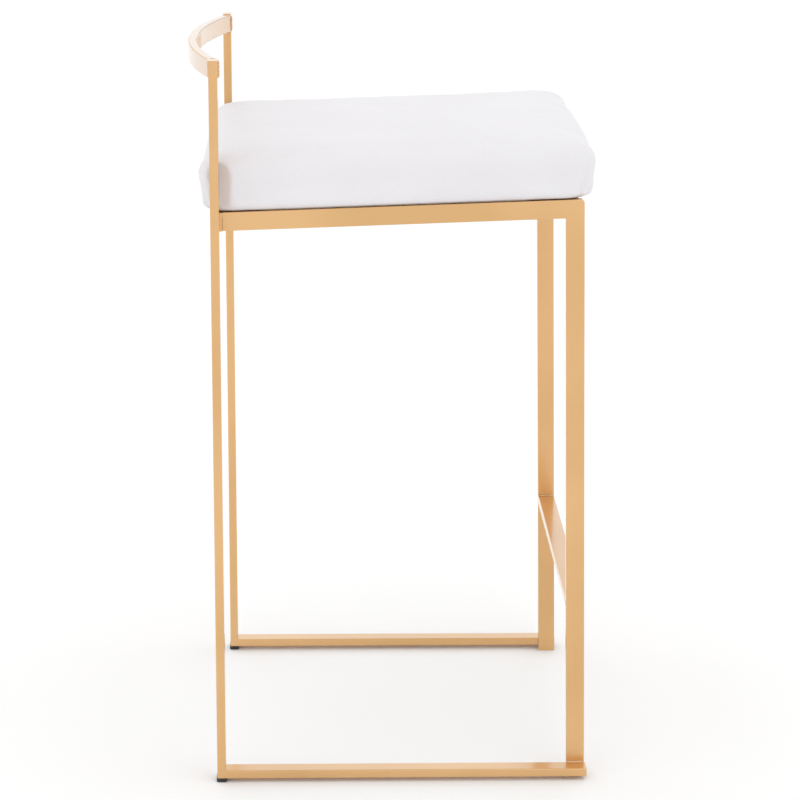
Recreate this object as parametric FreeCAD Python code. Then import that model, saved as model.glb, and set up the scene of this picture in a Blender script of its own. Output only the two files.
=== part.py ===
"""Counter-height bar stool: gold tube frame, curved backrest band, footrest bar and a cushion.

Row frame: +Z up, the sitter faces -Y, +X is the sitter's left. The origin lies on the floor under
the centre of the stool's box. Side views are drawn in (u, z): u is the distance forward of the
back legs' rear faces, z the height above the floor. Lengths are in millimetres.
"""

import FreeCAD, Part
import math
import os

from FreeCAD import Placement, Rotation, Vector

# Whole stool
WIDTH = 430.0
HEIGHT = 760.0
SIDES = {"left": 1, "right": -1}

# Rectangular steel tube, used on all members
BAR_WIDE = 19.0
BAR_THIN = 9.0
BAR_EDGE = 1.0
WALL = 1.2
CAP = 1.2

# Outer side frames: an upright back leg mitred to a rail along the floor
RAIL_LENGTH = 389.0
GLIDE_HEIGHT = 4.4

# Inner side frames: a raked front leg mitred to a sloping seat rail
LEG_TOE = 388.3
LEG_RAKE = math.radians(1.15)
SEAT_PITCH = math.radians(2.1)
SEAT_RAIL_REAR = 12.0
SEAT_RAIL_TOP = 605.3
CORNER_RADIUS = 4.0

# Footrest and backrest
FOOTREST_TOP = 194.5
BAND_BULGE = 29.0
BAND_DROP = 1.0

# Feet
GLIDE_LONG = 18.0
GLIDE_SHORT = 10.6
GLIDE_CORNER = 2.0
GLIDE_EDGE = 1.2
STEM_RADIUS = 2.0
STEM_LENGTH = 7.0
PLUG_RIM = 0.8
PLUG_DEPTH = 14.0
FIT_GAP = 0.1

# Cushion, in the seat's own frame: s runs forward along the seat rails, h is square to their tops
CUSHION_HALF_WIDTH = 193.0
CUSHION_REAR = -20.0
CUSHION_FRONT = 372.0
CUSHION_TOP = 57.0
PLAN_RADIUS = 28.0
TOP_RADIUS = 20.0
BOTTOM_RADIUS = 4.0
COVER = 1.2
HEM = 40.0
DUST_COVER = 0.6
DUST_COVER_INSET = 10.0
BOARD = 12.0
BOARD_INSET = 4.2
SOFT_GAP = 0.2

# Seat fixings
FRONT_CROSS_SETBACK = 5.0
PLATE_LEG = 42.0
PLATE = 3.0
SCREW_RADIUS = 3.0
SCREW_HOLE_RADIUS = 3.3
SCREW_HEAD_RADIUS = 5.5
SCREW_HEAD = 4.0
SOCKET_DEPTH = 2.4
SOCKET_RADIUS = 2.3
WASHER_RADIUS = 6.5
WASHER = 1.2
TEE_FLANGE_RADIUS = 9.0
TEE_FLANGE = 1.5
TEE_BARREL_RADIUS = 4.0
TEE_BARREL = 8.0

# Staples: flat wire bent into a crown and two legs
STAPLE_CROWN = 10.0
STAPLE_WIDE = 0.9
STAPLE_THICK = 0.5
STAPLE_LEG = 8.0

# Worked out from the sizes above
REAR_Y = (RAIL_LENGTH - BAND_BULGE) / 2
FRAME_OUT = WIDTH / 2
FRAME_MID = FRAME_OUT - BAR_WIDE
FRAME_IN = FRAME_MID - BAR_THIN
HEM_BASE = DUST_COVER
BOARD_BASE = HEM_BASE + COVER
BOARD_TOP = BOARD_BASE + BOARD
SCREW_TIP = BOARD_TOP - 1.0


# ---------------------------------------------------------------- drawing helpers


def at(x, u, z):
    """The point at lateral x, u forward of the back legs' rear faces and z above the floor."""
    return Vector(x, REAR_Y - u, z)


def aim(angle):
    """Unit vector in a side view, angle radians up from straight ahead."""
    return (math.cos(angle), math.sin(angle))


def shifted(point, direction, along, across=0.0):
    """Moves a side-view point along a unit direction and to the left of it."""
    u, z = point
    du, dz = direction
    return (u + du * along - dz * across, z + dz * along + du * across)


def meet(point_a, aim_a, point_b, aim_b):
    """Where two side-view lines cross."""
    cross = aim_a[0] * aim_b[1] - aim_a[1] * aim_b[0]
    gap = (point_b[0] - point_a[0], point_b[1] - point_a[1])
    along = (gap[0] * aim_b[1] - gap[1] * aim_b[0]) / cross
    return shifted(point_a, aim_a, along)


def prism(outline, x_start, x_end):
    """Solid of a straight-sided side-view outline, from x_start to x_end."""
    points = [at(x_start, u, z) for u, z in outline]
    face = Part.Face(Part.makePolygon(points + points[:1]))
    return face.extrude(Vector(x_end - x_start, 0, 0))


def block(x_start, x_end, u_start, u_end, z_start, z_end):
    """Upright box between two corners."""
    outline = [(u_start, z_start), (u_end, z_start), (u_end, z_end), (u_start, z_end)]
    return prism(outline, x_start, x_end)


def cylinder(radius, height, base, axis=Vector(0, 0, 1)):
    """Round bar that starts at base."""
    return Part.makeCylinder(radius, height, base, axis)


def softened(tube):
    """Rounds a tube's lengthwise edges, which are the only ones over twice its width."""
    return tube.makeFillet(BAR_EDGE, [edge for edge in tube.Edges if edge.Length > 2 * BAR_WIDE])


def end_plate(*corners):
    """Plate that closes a tube's end, with the tube's rounded corners."""
    plate = block(*corners)
    return plate.makeFillet(BAR_EDGE, [edge for edge in plate.Edges if edge.Length < 2 * CAP])


def side_solid(outline, inner, outer, side, inset=0.0):
    """Side-view outline extruded between two half-widths on one side of the stool."""
    return prism(outline, side * (inner + inset), side * (outer - inset))


def cross_tube(half_span, u_start, u_end, z_start, z_end):
    """Tube that runs across the stool, open at both ends."""
    skin = softened(block(-half_span, half_span, u_start, u_end, z_start, z_end))
    bore = block(-half_span, half_span, u_start + WALL, u_end - WALL, z_start + WALL, z_end - WALL)
    return skin.cut(bore)


# ---------------------------------------------------------------- outer side frames


def back_leg_outline(inset):
    """Back leg in side view; its lower end is mitred to the bottom rail."""
    low, high = inset, BAR_THIN - inset
    return [
        (low, GLIDE_HEIGHT + low),
        (high, GLIDE_HEIGHT + high),
        (high, HEIGHT - CAP),
        (low, HEIGHT - CAP),
    ]


def bottom_rail_outline(inset):
    """Bottom rail in side view; its rear end is mitred to the back leg."""
    low, high = inset, BAR_THIN - inset
    return [
        (low, GLIDE_HEIGHT + low),
        (RAIL_LENGTH - CAP, GLIDE_HEIGHT + low),
        (RAIL_LENGTH - CAP, GLIDE_HEIGHT + high),
        (high, GLIDE_HEIGHT + high),
    ]


def outer_tube(outline, side):
    """Hollow member of an outer side frame."""
    skin = softened(side_solid(outline(0.0), FRAME_MID, FRAME_OUT, side))
    return skin.cut(side_solid(outline(WALL), FRAME_MID, FRAME_OUT, side, WALL))


def glide_seat(side):
    """Floor point under the mitred corner, where the rear foot goes."""
    return at(side * (FRAME_OUT - BAR_WIDE / 2), BAR_THIN / 2, 0)


def rear_foot(side):
    """Oblong glide with a rounded edge and a stem that pushes into the rail."""
    seat = glide_seat(side)
    corner = seat - Vector(GLIDE_LONG / 2, GLIDE_SHORT / 2, 0)
    pad = Part.makeBox(GLIDE_LONG, GLIDE_SHORT, GLIDE_HEIGHT, corner)
    uprights = [edge for edge in pad.Edges if edge.BoundBox.ZLength > GLIDE_HEIGHT / 2]
    pad = pad.makeFillet(GLIDE_CORNER, uprights)
    floor_edge = [edge for edge in pad.Edges if edge.BoundBox.ZMax < GLIDE_EDGE / 2]
    pad = pad.makeFillet(GLIDE_EDGE, floor_edge)
    stem = cylinder(STEM_RADIUS, STEM_LENGTH, seat + Vector(0, 0, GLIDE_HEIGHT))
    return pad.fuse(stem).removeSplitter()


def add_outer_frame(parts, name, side):
    """Back leg, bottom rail, their end caps and the rear foot."""
    stem_base = glide_seat(side) + Vector(0, 0, GLIDE_HEIGHT - WALL)
    stem_hole = cylinder(STEM_RADIUS + FIT_GAP / 2, 3 * WALL, stem_base)
    parts[f"back_leg_{name}"] = outer_tube(back_leg_outline, side)
    parts[f"bottom_rail_{name}"] = outer_tube(bottom_rail_outline, side).cut(stem_hole)
    edges = (side * FRAME_MID, side * FRAME_OUT)
    rail_end = (RAIL_LENGTH - CAP, RAIL_LENGTH, GLIDE_HEIGHT, GLIDE_HEIGHT + BAR_THIN)
    parts[f"leg_cap_{name}"] = end_plate(*edges, 0, BAR_THIN, HEIGHT - CAP, HEIGHT)
    parts[f"rail_cap_{name}"] = end_plate(*edges, *rail_end)
    parts[f"rear_foot_{name}"] = rear_foot(side)


# ---------------------------------------------------------------- inner side frames

RAIL_AIM = aim(SEAT_PITCH)
LEG_AIM = aim(math.pi / 2 + LEG_RAKE)
RAIL_ORIGIN = (SEAT_RAIL_REAR, SEAT_RAIL_TOP)
LEG_ORIGIN = (LEG_TOE, 0.0)
UPRIGHT = aim(math.pi / 2)
LEVEL = aim(0.0)


def inner_corner(inset):
    """Mitre of seat rail and front leg: inner corner, and the three points of the outer curve."""
    rail_top = shifted(RAIL_ORIGIN, RAIL_AIM, 0, -inset)
    rail_low = shifted(RAIL_ORIGIN, RAIL_AIM, 0, inset - BAR_WIDE)
    leg_front = shifted(LEG_ORIGIN, LEG_AIM, 0, inset)
    leg_rear = shifted(LEG_ORIGIN, LEG_AIM, 0, BAR_WIDE - inset)
    crook = meet(rail_low, RAIL_AIM, leg_rear, LEG_AIM)
    radius = CORNER_RADIUS - inset
    centre = meet(
        shifted(rail_top, RAIL_AIM, 0, -radius),
        RAIL_AIM,
        shifted(leg_front, LEG_AIM, 0, radius),
        LEG_AIM,
    )
    on_top = shifted(centre, RAIL_AIM, 0, radius)
    on_front = shifted(centre, LEG_AIM, 0, -radius)
    reach = math.dist(crook, centre)
    outward = ((centre[0] - crook[0]) / reach, (centre[1] - crook[1]) / reach)
    on_mitre = shifted(centre, outward, radius)
    return centre, radius, crook, on_top, on_mitre, on_front


def arc_middle(centre, radius, start, end):
    """Point half way along a short arc."""
    middle = ((start[0] + end[0]) / 2, (start[1] + end[1]) / 2)
    reach = math.dist(centre, middle)
    outward = ((middle[0] - centre[0]) / reach, (middle[1] - centre[1]) / reach)
    return shifted(centre, outward, radius)


def curved_prism(outline, arc, x_start, x_end):
    """Solid of an outline whose last point is joined to its first by an arc."""
    points = [at(x_start, u, z) for u, z in outline]
    edges = [Part.makeLine(a, b) for a, b in zip(points, points[1:])]
    bend = Part.Arc(points[-1], at(x_start, *arc), points[0]).toShape()
    return Part.Face(Part.Wire(edges + [bend])).extrude(Vector(x_end - x_start, 0, 0))


def seat_rail_solid(side, inset):
    """Seat rail, or its bore when inset by the wall."""
    centre, radius, crook, on_top, on_mitre, _ = inner_corner(inset)
    rear = (SEAT_RAIL_REAR, 0.0)
    top_line = shifted(RAIL_ORIGIN, RAIL_AIM, 0, -inset)
    low_line = shifted(RAIL_ORIGIN, RAIL_AIM, 0, inset - BAR_WIDE)
    rear_top = meet(top_line, RAIL_AIM, rear, UPRIGHT)
    rear_low = meet(low_line, RAIL_AIM, rear, UPRIGHT)
    outline = [on_top, rear_top, rear_low, crook, on_mitre]
    arc = arc_middle(centre, radius, on_mitre, on_top)
    return curved_prism(outline, arc, side * (FRAME_IN + inset), side * (FRAME_MID - inset))


def leg_strip(z_start, z_end, inset):
    """Length of the front leg between two heights, in side view."""
    front = shifted(LEG_ORIGIN, LEG_AIM, 0, inset)
    rear = shifted(LEG_ORIGIN, LEG_AIM, 0, BAR_WIDE - inset)
    return [
        meet(rear, LEG_AIM, (0.0, z_start), LEVEL),
        meet(front, LEG_AIM, (0.0, z_start), LEVEL),
        meet(front, LEG_AIM, (0.0, z_end), LEVEL),
        meet(rear, LEG_AIM, (0.0, z_end), LEVEL),
    ]


def front_leg_solid(side, inset):
    """Front leg above its plug's rim, or its bore when inset by the wall."""
    centre, radius, crook, _, on_mitre, on_front = inner_corner(inset)
    rear_low, front_low = leg_strip(PLUG_RIM, PLUG_DEPTH, inset)[:2]
    outline = [on_mitre, crook, rear_low, front_low, on_front]
    arc = arc_middle(centre, radius, on_front, on_mitre)
    return curved_prism(outline, arc, side * (FRAME_IN + inset), side * (FRAME_MID - inset))


def with_soft_corner(member, direction):
    """Rounds the lengthwise edges of an inner-frame member, with the curve at its mitre."""
    lengthwise = Vector(0, -direction[0], direction[1])

    def runs_on(edge):
        if isinstance(edge.Curve, Part.Circle):
            return True
        return abs(edge.tangentAt(edge.FirstParameter).dot(lengthwise)) > 0.999

    return member.makeFillet(BAR_EDGE, [edge for edge in member.Edges if runs_on(edge)])


def foot_plug(side):
    """Plastic insert of a front leg; its rim stands on the floor."""
    rim = side_solid(leg_strip(0.0, PLUG_RIM, 0.0), FRAME_IN, FRAME_MID, side)
    inset = WALL + FIT_GAP
    shank = side_solid(leg_strip(PLUG_RIM, PLUG_DEPTH, inset), FRAME_IN, FRAME_MID, side, inset)
    return rim.fuse(shank).removeSplitter()


def add_inner_frame(parts, name, side):
    """Seat rail, front leg and the plug in the leg's foot."""
    rail = with_soft_corner(seat_rail_solid(side, 0.0), RAIL_AIM)
    leg = with_soft_corner(front_leg_solid(side, 0.0), LEG_AIM)
    parts[f"seat_rail_{name}"] = rail.cut(seat_rail_solid(side, WALL))
    parts[f"front_leg_{name}"] = leg.cut(front_leg_solid(side, WALL))
    parts[f"foot_plug_{name}"] = foot_plug(side)


# ---------------------------------------------------------------- cross members


def add_rear_cross_tube(parts):
    """Upright tube between the back legs, with its end caps; the side rails butt against it."""
    front = SEAT_RAIL_REAR
    top = SEAT_RAIL_TOP - BAR_THIN * math.tan(SEAT_PITCH)
    section = (front - BAR_THIN, front, top - BAR_WIDE, top)
    parts["seat_rail_rear"] = cross_tube(FRAME_MID - CAP, *section)
    for name, side in SIDES.items():
        ends = sorted((side * (FRAME_MID - CAP), side * FRAME_MID))
        parts[f"rear_tube_cap_{name}"] = end_plate(*ends, *section)


def footrest():
    """Tube laid flat between the front legs, as deep as they are."""
    rear, front = [u for u, _ in leg_strip(FOOTREST_TOP, HEIGHT, 0.0)[:2]]
    return cross_tube(FRAME_IN, rear, front, FOOTREST_TOP - BAR_THIN, FOOTREST_TOP)


def band_solid(inset):
    """Bent backrest bar, or its bore when inset by the wall; its ends centre on the back legs."""
    sagitta = BAND_BULGE
    middle_radius = (FRAME_MID**2 + sagitta**2) / (2 * sagitta)
    centre_u = BAR_THIN / 2 + math.sqrt(middle_radius**2 - FRAME_MID**2)
    base = HEIGHT - BAND_DROP - BAR_WIDE + inset

    def bent_edge(radius):
        end_u = centre_u - math.sqrt(radius**2 - FRAME_MID**2)
        ends = [at(x, end_u, base) for x in (-FRAME_MID, FRAME_MID)]
        return ends, Part.Arc(ends[0], at(0, centre_u - radius, base), ends[1]).toShape()

    front_ends, front = bent_edge(middle_radius - BAR_THIN / 2 + inset)
    rear_ends, rear = bent_edge(middle_radius + BAR_THIN / 2 - inset)
    closers = [Part.makeLine(a, b) for a, b in zip(front_ends, rear_ends)]
    outline = Part.Wire([front, closers[1], rear, closers[0]])
    return Part.Face(outline).extrude(Vector(0, 0, BAR_WIDE - 2 * inset))


def backrest_band():
    """Tube bent to an arc between the back legs, just below their tops."""
    return softened(band_solid(0.0)).cut(band_solid(WALL))


# ---------------------------------------------------------------- seat, in its own frame

SEAT_TILT = Rotation(Vector(1, 0, 0), -math.degrees(SEAT_PITCH))
SEAT_PLACE = Placement(at(0, SEAT_RAIL_REAR, SEAT_RAIL_TOP), SEAT_TILT)


def seat_at(x, s, h):
    """Point of the seat's frame: s forward along the rails, h square to their tops."""
    return Vector(x, -s, h)


def placed(shape):
    """Moves a solid drawn in the seat's frame onto the stool."""
    return shape.transformed(SEAT_PLACE.toMatrix())


def seat_front():
    """s of the front legs' front faces, at the height of the rails' tops."""
    toe = meet(RAIL_ORIGIN, RAIL_AIM, LEG_ORIGIN, LEG_AIM)
    return math.dist(RAIL_ORIGIN, toe)


CROSS_FRONT = seat_front() - FRONT_CROSS_SETBACK
CROSS_REAR = CROSS_FRONT - BAR_THIN


def seat_box(half_width, s_start, s_end, h_start, h_end):
    """Box in the seat's frame, centred across the stool."""
    size = (2 * half_width, s_end - s_start, h_end - h_start)
    return Part.makeBox(*size, seat_at(-half_width, s_end, h_start))


def plan_block(inset, h_start, h_end, plan_radius):
    """Slab of the cushion's plan, inset all round, with round corners."""
    slab = seat_box(
        CUSHION_HALF_WIDTH - inset, CUSHION_REAR + inset, CUSHION_FRONT - inset, h_start, h_end
    )
    corners = [edge for edge in slab.Edges if edge.BoundBox.ZLength > (h_end - h_start) / 2]
    return slab.makeFillet(plan_radius, corners)


def cushion_block(inset):
    """Cushion with rounded top and bottom edges, inset all round."""
    low, high = HEM_BASE + inset, CUSHION_TOP - inset
    body = plan_block(inset, low, high, PLAN_RADIUS - inset)
    middle = (low + high) / 2
    flat = [edge for edge in body.Edges if edge.BoundBox.ZLength < 0.01]
    upper = [edge for edge in flat if edge.BoundBox.ZMin > middle]
    body = body.makeFillet(TOP_RADIUS - inset, upper)
    flat = [edge for edge in body.Edges if edge.BoundBox.ZLength < 0.01]
    lower = [edge for edge in flat if edge.BoundBox.ZMin < low + 0.01]
    return body.makeFillet(BOTTOM_RADIUS - inset, lower)


def fixing_spots():
    """(x, s) of the four seat screws, at the middles of the corner plates."""
    reach = PLATE_LEG / 3
    rows = {"rear": reach, "front": CROSS_REAR - reach}
    spots = {}
    for row, s in rows.items():
        for name, side in SIDES.items():
            spots[f"{row}_{name}"] = (side * (FRAME_IN - reach), s)
    return spots


FIXINGS = fixing_spots()


def at_fixings(radius, h_start, h_end):
    """Upright cylinders on all four screw axes."""
    return [cylinder(radius, h_end - h_start, seat_at(x, s, h_start)) for x, s in FIXINGS.values()]


def seat_rail_front():
    """Cross tube between the front legs, square to the seat."""
    skin = softened(seat_box(FRAME_IN, CROSS_REAR, CROSS_FRONT, -BAR_WIDE, 0))
    bore = seat_box(FRAME_IN, CROSS_REAR + WALL, CROSS_FRONT - WALL, WALL - BAR_WIDE, -WALL)
    return skin.cut(bore)


def corner_plate(spot, row, side):
    """Triangular gusset in a corner of the seat frame, with a screw hole."""
    x, s = spot
    edge = side * FRAME_IN
    cross_s, forward = (0.0, 1) if row == "rear" else (CROSS_REAR, -1)
    corners = [
        seat_at(edge, cross_s, -PLATE),
        seat_at(edge - side * PLATE_LEG, cross_s, -PLATE),
        seat_at(edge, cross_s + forward * PLATE_LEG, -PLATE),
    ]
    plate = Part.Face(Part.makePolygon(corners + corners[:1])).extrude(Vector(0, 0, PLATE))
    return plate.cut(cylinder(SCREW_HOLE_RADIUS, 3 * PLATE, seat_at(x, s, -2 * PLATE)))


def seat_screw(x, s):
    """Socket-head screw, from its head under the plate to its tip inside the tee nut."""
    head_top = -PLATE - WASHER
    foot = seat_at(x, s, head_top - SCREW_HEAD)
    head = cylinder(SCREW_HEAD_RADIUS, SCREW_HEAD, foot)
    shank = cylinder(SCREW_RADIUS, SCREW_TIP - head_top, seat_at(x, s, head_top))
    turns = [Rotation(Vector(0, 0, 1), 60 * n) for n in range(7)]
    hexagon = [foot + turn.multVec(Vector(SOCKET_RADIUS, 0, 0)) for turn in turns]
    socket = Part.Face(Part.makePolygon(hexagon)).extrude(Vector(0, 0, SOCKET_DEPTH))
    return head.fuse(shank).removeSplitter().cut(socket)


def tee_nut(x, s):
    """Flanged barrel let into the top of the board."""
    flange_base = BOARD_TOP - TEE_FLANGE
    flange = cylinder(TEE_FLANGE_RADIUS, TEE_FLANGE, seat_at(x, s, flange_base))
    barrel_base = seat_at(x, s, flange_base - TEE_BARREL)
    barrel = cylinder(TEE_BARREL_RADIUS, TEE_BARREL, barrel_base)
    bore = cylinder(SCREW_RADIUS + FIT_GAP / 2, 2 * TEE_BARREL, barrel_base)
    return flange.fuse(barrel).removeSplitter().cut(bore)


def washer(x, s):
    """Plain washer between screw head and corner plate."""
    disc = cylinder(WASHER_RADIUS, WASHER, seat_at(x, s, -PLATE - WASHER))
    return disc.cut(cylinder(SCREW_HOLE_RADIUS, 3 * WASHER, seat_at(x, s, -PLATE - 2 * WASHER)))


def staple(x, s, h, across):
    """Staple driven upwards: crown at height h, along X where across is true, else along s."""
    half = STAPLE_CROWN / 2
    outer = (half, STAPLE_WIDE / 2) if across else (STAPLE_WIDE / 2, half)
    inner = (half - STAPLE_THICK, STAPLE_WIDE) if across else (STAPLE_WIDE, half - STAPLE_THICK)

    def slab(size, low, high):
        dx, ds = size
        return Part.makeBox(2 * dx, 2 * ds, high - low, seat_at(x - dx, s + ds, low))

    top = h + STAPLE_THICK + STAPLE_LEG
    return slab(outer, h, top).cut(slab(inner, h + STAPLE_THICK, top + 1))


def spread(low, high, count):
    """Evenly spaced values from low to high."""
    return [low + (high - low) * n / (count - 1) for n in range(count)]


def staple_ring(half_width, s_rear, s_front, h, side_count, end_count):
    """Staples along the four sides of a rectangle, clear of the seat screws."""
    clear = PLATE_LEG + STAPLE_CROWN
    ring = []
    for s in spread(clear, CROSS_REAR - clear, side_count):
        ring += [staple(x, s, h, False) for x in (-half_width, half_width)]
    for x in spread(clear - FRAME_IN, FRAME_IN - clear, end_count):
        ring += [staple(x, s, h, True) for s in (s_rear, s_front)]
    return ring


def seat_cover():
    """Cover skin: round the foam, over the board's edges and hemmed under the board."""
    skin = cushion_block(0.0).cut(cushion_block(COVER))
    opening = plan_block(HEM, HEM_BASE - 1, BOARD_BASE + 1, PLAN_RADIUS)
    return skin.cut(opening)


def seat_board():
    """Plywood base with recesses for the tee nuts."""
    board = plan_block(BOARD_INSET, BOARD_BASE, BOARD_TOP, PLAN_RADIUS - BOARD_INSET)
    flanges = at_fixings(TEE_FLANGE_RADIUS, BOARD_TOP - TEE_FLANGE, BOARD_TOP + 1)
    barrels = at_fixings(TEE_BARREL_RADIUS, BOARD_BASE - 1, BOARD_TOP)
    return board.cut(flanges + barrels)


def seat_foam():
    """Foam block on the board, just clear of the cover."""
    foam = cushion_block(COVER + SOFT_GAP)
    above = seat_box(CUSHION_HALF_WIDTH, CUSHION_REAR, CUSHION_FRONT, BOARD_TOP, CUSHION_TOP)
    return foam.common(above)


def add_seat(parts):
    """Front cross tube, corner plates, fixings and the cushion with its staples."""
    made = {"seat_rail_front": seat_rail_front()}
    for name, spot in FIXINGS.items():
        row, side_name = name.split("_")
        made[f"corner_plate_{name}"] = corner_plate(spot, row, SIDES[side_name])
    made["seat_screws"] = [seat_screw(x, s) for x, s in FIXINGS.values()]
    made["seat_washers"] = [washer(x, s) for x, s in FIXINGS.values()]
    made["tee_nuts"] = [tee_nut(x, s) for x, s in FIXINGS.values()]

    hem_line = (FRAME_IN - 21.5, CUSHION_REAR + 14, CUSHION_FRONT - 14)
    dust_line = (FRAME_IN - 9.5, 10.0, CROSS_REAR - 10)
    cover_staples = staple_ring(*hem_line, HEM_BASE, 7, 6)
    dust_cover_staples = staple_ring(*dust_line, -STAPLE_THICK, 6, 5)
    made["cover_staples"] = cover_staples
    made["dust_cover_staples"] = dust_cover_staples

    screw_holes = at_fixings(SCREW_HOLE_RADIUS, -1, BOARD_TOP)
    staples = cover_staples + dust_cover_staples
    dust_cover = plan_block(DUST_COVER_INSET, 0, DUST_COVER, PLAN_RADIUS - DUST_COVER_INSET)
    made["dust_cover"] = dust_cover.cut(screw_holes + dust_cover_staples)
    made["seat_cover"] = seat_cover().cut(screw_holes + staples)
    made["seat_board"] = seat_board().cut(staples)
    made["seat_foam"] = seat_foam()
    for name, shape in made.items():
        solid = Part.makeCompound(shape) if isinstance(shape, list) else shape
        parts[name] = placed(solid)


# ---------------------------------------------------------------- the stool


def build():
    """All pieces by node name."""
    parts = {}
    for name, side in SIDES.items():
        add_outer_frame(parts, name, side)
        add_inner_frame(parts, name, side)
    add_rear_cross_tube(parts)
    parts["footrest"] = footrest()
    parts["backrest_band"] = backrest_band()
    add_seat(parts)
    return parts


os.makedirs("parts", exist_ok=True)
for node, shape in build().items():
    shape.exportStep(f"parts/{node}.step")
    print(f"{node}: {len(shape.Solids)} solid(s), {shape.Volume:.1f} mm3, valid {shape.isValid()}")
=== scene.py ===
"""Looks of a counter-height bar stool: satin gold tube frame and a white faux leather cushion.

Lengths are in metres. +Z is up, the sitter faces -Y, and +X is the sitter's left.
"""

import logging
import math
from collections.abc import Callable, Iterator
from dataclasses import dataclass
from enum import Enum

import bmesh
import bpy
from mathutils import Matrix, Vector, noise


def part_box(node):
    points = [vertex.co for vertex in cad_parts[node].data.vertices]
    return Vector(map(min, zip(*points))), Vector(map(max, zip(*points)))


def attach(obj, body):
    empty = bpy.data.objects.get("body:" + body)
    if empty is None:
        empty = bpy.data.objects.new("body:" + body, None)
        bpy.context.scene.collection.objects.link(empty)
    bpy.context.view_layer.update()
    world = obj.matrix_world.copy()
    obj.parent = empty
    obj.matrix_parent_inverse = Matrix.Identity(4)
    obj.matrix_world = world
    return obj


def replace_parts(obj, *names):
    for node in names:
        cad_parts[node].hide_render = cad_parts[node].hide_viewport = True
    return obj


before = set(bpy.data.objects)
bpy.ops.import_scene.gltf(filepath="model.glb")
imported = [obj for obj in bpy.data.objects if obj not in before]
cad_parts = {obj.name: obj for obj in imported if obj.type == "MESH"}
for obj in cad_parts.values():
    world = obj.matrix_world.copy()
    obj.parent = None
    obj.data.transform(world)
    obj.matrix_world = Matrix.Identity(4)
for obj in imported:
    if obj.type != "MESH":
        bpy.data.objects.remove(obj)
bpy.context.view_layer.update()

MM = 0.001
BODY = "root"
SIDES = {"left": 1, "right": -1}

Colour = tuple[float, float, float, float]
Line = tuple[Vector, Vector]

log = logging.getLogger("stool")


# ---------------------------------------------------------------- node trees

# A Mix node's sockets by number when it mixes colours: its names repeat for other data types
MIX_COLOUR_INPUTS = (0, 6, 7)
MIX_COLOUR_OUTPUT = 2


class Nodes:
    """Adds nodes to a tree and joins them."""

    def __init__(self, tree: bpy.types.NodeTree) -> None:
        """Keeps the tree that the nodes go in."""
        self.tree = tree

    def add(self, kind: str, inputs: dict | None = None, **settings: object) -> bpy.types.Node:
        """Adds one node.

        Args:
            kind: The node's type name.
            inputs: Values or output sockets, by input name or number.
            **settings: The node's own properties.

        Returns:
            The new node.
        """
        node = self.tree.nodes.new(kind)
        for name, value in settings.items():
            setattr(node, name, value)
        for name, value in (inputs or {}).items():
            self.feed(node.inputs[name], value)
        return node

    def feed(self, socket: bpy.types.NodeSocket, value: object) -> None:
        """Sets an input to a value, or joins it to an output socket."""
        if isinstance(value, bpy.types.NodeSocket):
            self.tree.links.new(value, socket)
        else:
            socket.default_value = value

    def maths(self, operation: str, *values: object) -> bpy.types.NodeSocket:
        """Adds a Math node and returns its result."""
        node = self.add("ShaderNodeMath", dict(enumerate(values)), operation=operation)
        return node.outputs[0]

    def spread(self, value: object, low: object, high: object) -> bpy.types.NodeSocket:
        """Maps 0..1 to low..high."""
        inputs = {"Value": value, "To Min": low, "To Max": high}
        return self.add("ShaderNodeMapRange", inputs).outputs["Result"]

    def blend(self, share: object, first: object, second: object) -> bpy.types.NodeSocket:
        """Mixes two colours by a share."""
        node = self.add("ShaderNodeMix", data_type="RGBA")
        for number, value in zip(MIX_COLOUR_INPUTS, (share, first, second)):
            self.feed(node.inputs[number], value)
        return node.outputs[MIX_COLOUR_OUTPUT]

    def noise(self, place: object, scale: object, detail: float = 3.0) -> bpy.types.NodeSocket:
        """Adds a Noise Texture and returns its value."""
        inputs = {"Vector": place, "Scale": scale, "Detail": detail}
        return self.add("ShaderNodeTexNoise", inputs).outputs["Fac"]


class Effect:
    """A shader node group that several finishes share; it is built when it is first used."""

    inputs: dict[str, str] = {}
    outputs: dict[str, str] = {}
    title = ""

    def build(self, nodes: Nodes, given: dict, out: bpy.types.Node) -> None:
        """Fills the group.

        Args:
            nodes: The group's tree.
            given: The group's input sockets by name.
            out: The Group Output node.
        """
        raise NotImplementedError

    def tree(self) -> bpy.types.NodeTree:
        """Returns the group's node tree."""
        if self.title in bpy.data.node_groups:
            return bpy.data.node_groups[self.title]
        tree = bpy.data.node_groups.new(self.title, "ShaderNodeTree")
        for name, kind in self.inputs.items():
            tree.interface.new_socket(name, in_out="INPUT", socket_type=kind)
        for name, kind in self.outputs.items():
            tree.interface.new_socket(name, in_out="OUTPUT", socket_type=kind)
        nodes = Nodes(tree)
        entry = nodes.add("NodeGroupInput")
        given = {name: entry.outputs[name] for name in self.inputs}
        self.build(nodes, given, nodes.add("NodeGroupOutput"))
        return tree

    def place(self, nodes: Nodes, **values: object) -> bpy.types.NodeOutputs:
        """Adds the group to a material.

        Args:
            nodes: The material's tree.
            **values: The group's inputs, named with _ for spaces.

        Returns:
            The group node's outputs.
        """
        node = nodes.add("ShaderNodeGroup", node_tree=self.tree())
        for name, value in values.items():
            nodes.feed(node.inputs[name.replace("_", " ")], value)
        return node.outputs


FLOAT, VECTOR, COLOUR = "NodeSocketFloat", "NodeSocketVector", "NodeSocketColor"


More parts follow.
